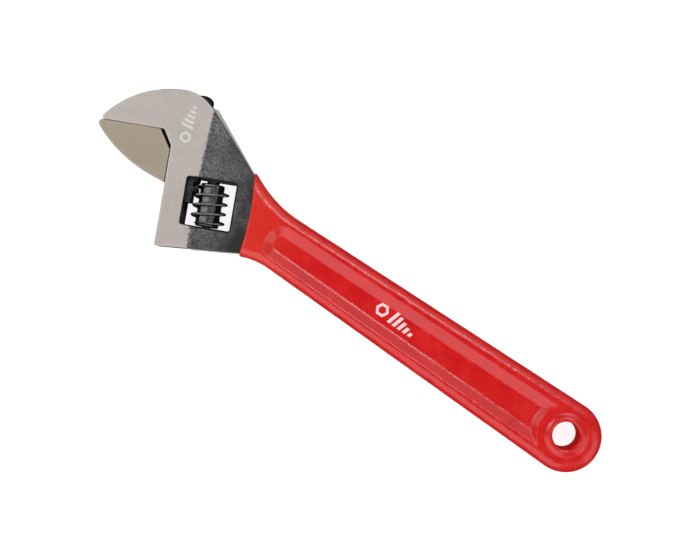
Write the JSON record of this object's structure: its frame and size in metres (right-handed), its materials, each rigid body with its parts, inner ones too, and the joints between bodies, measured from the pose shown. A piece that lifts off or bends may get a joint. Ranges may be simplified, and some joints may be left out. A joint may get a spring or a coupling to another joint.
{
  "type": "adjustable wrench",
  "caption": "Adjustable wrench with an offset head, a sliding jaw driven by a knurled worm, and a red dipped handle with a recess and a hang hole.",
  "frame": {"origin": "centre of the bounding box, at the height of the head's lower ground face", "axes": "+X along the handle from the jaws to the hang hole, +Y from the movable jaw's side to the fixed jaw's side, +Z through the thickness, with the wrench lying flat"},
  "size_m": [0.2548, 0.0656, 0.015],
  "materials": {
    "forged_body": "ground faces with fine lines, black forged shank",
    "ground_jaw": "ground, slightly darker than the head",
    "black_oxide": "black oxide, oiled",
    "spring_steel": "drawn wire",
    "red_vinyl": "glossy dipped plastisol"
  },
  "bodies": {
    "root": {"body": "forged_body", "grip": "red_vinyl", "knurl_pin": "black_oxide", "knurl_spring": "spring_steel"},
    "jaw": {"movable_jaw": "ground_jaw"},
    "worm": {"knurl": "black_oxide"}
  },
  "joints": [
    {"name": "jaw_slide", "type": "slide", "parent": "root", "child": "jaw", "axis": [0.4163, -0.9092, 0], "range_m": [0, 0.028]},
    {"name": "knurl_spin", "type": "hinge", "parent": "root", "child": "worm", "pos_m": [-0.0687, -0.00547, 0.0075], "axis": [-0.4163, 0.9092, 0], "range_deg": [0, 2430]}
  ],
  "couplings": [
    {"joint": "knurl_spin", "follows": "jaw_slide", "rad_per_m": 1514}
  ]
}
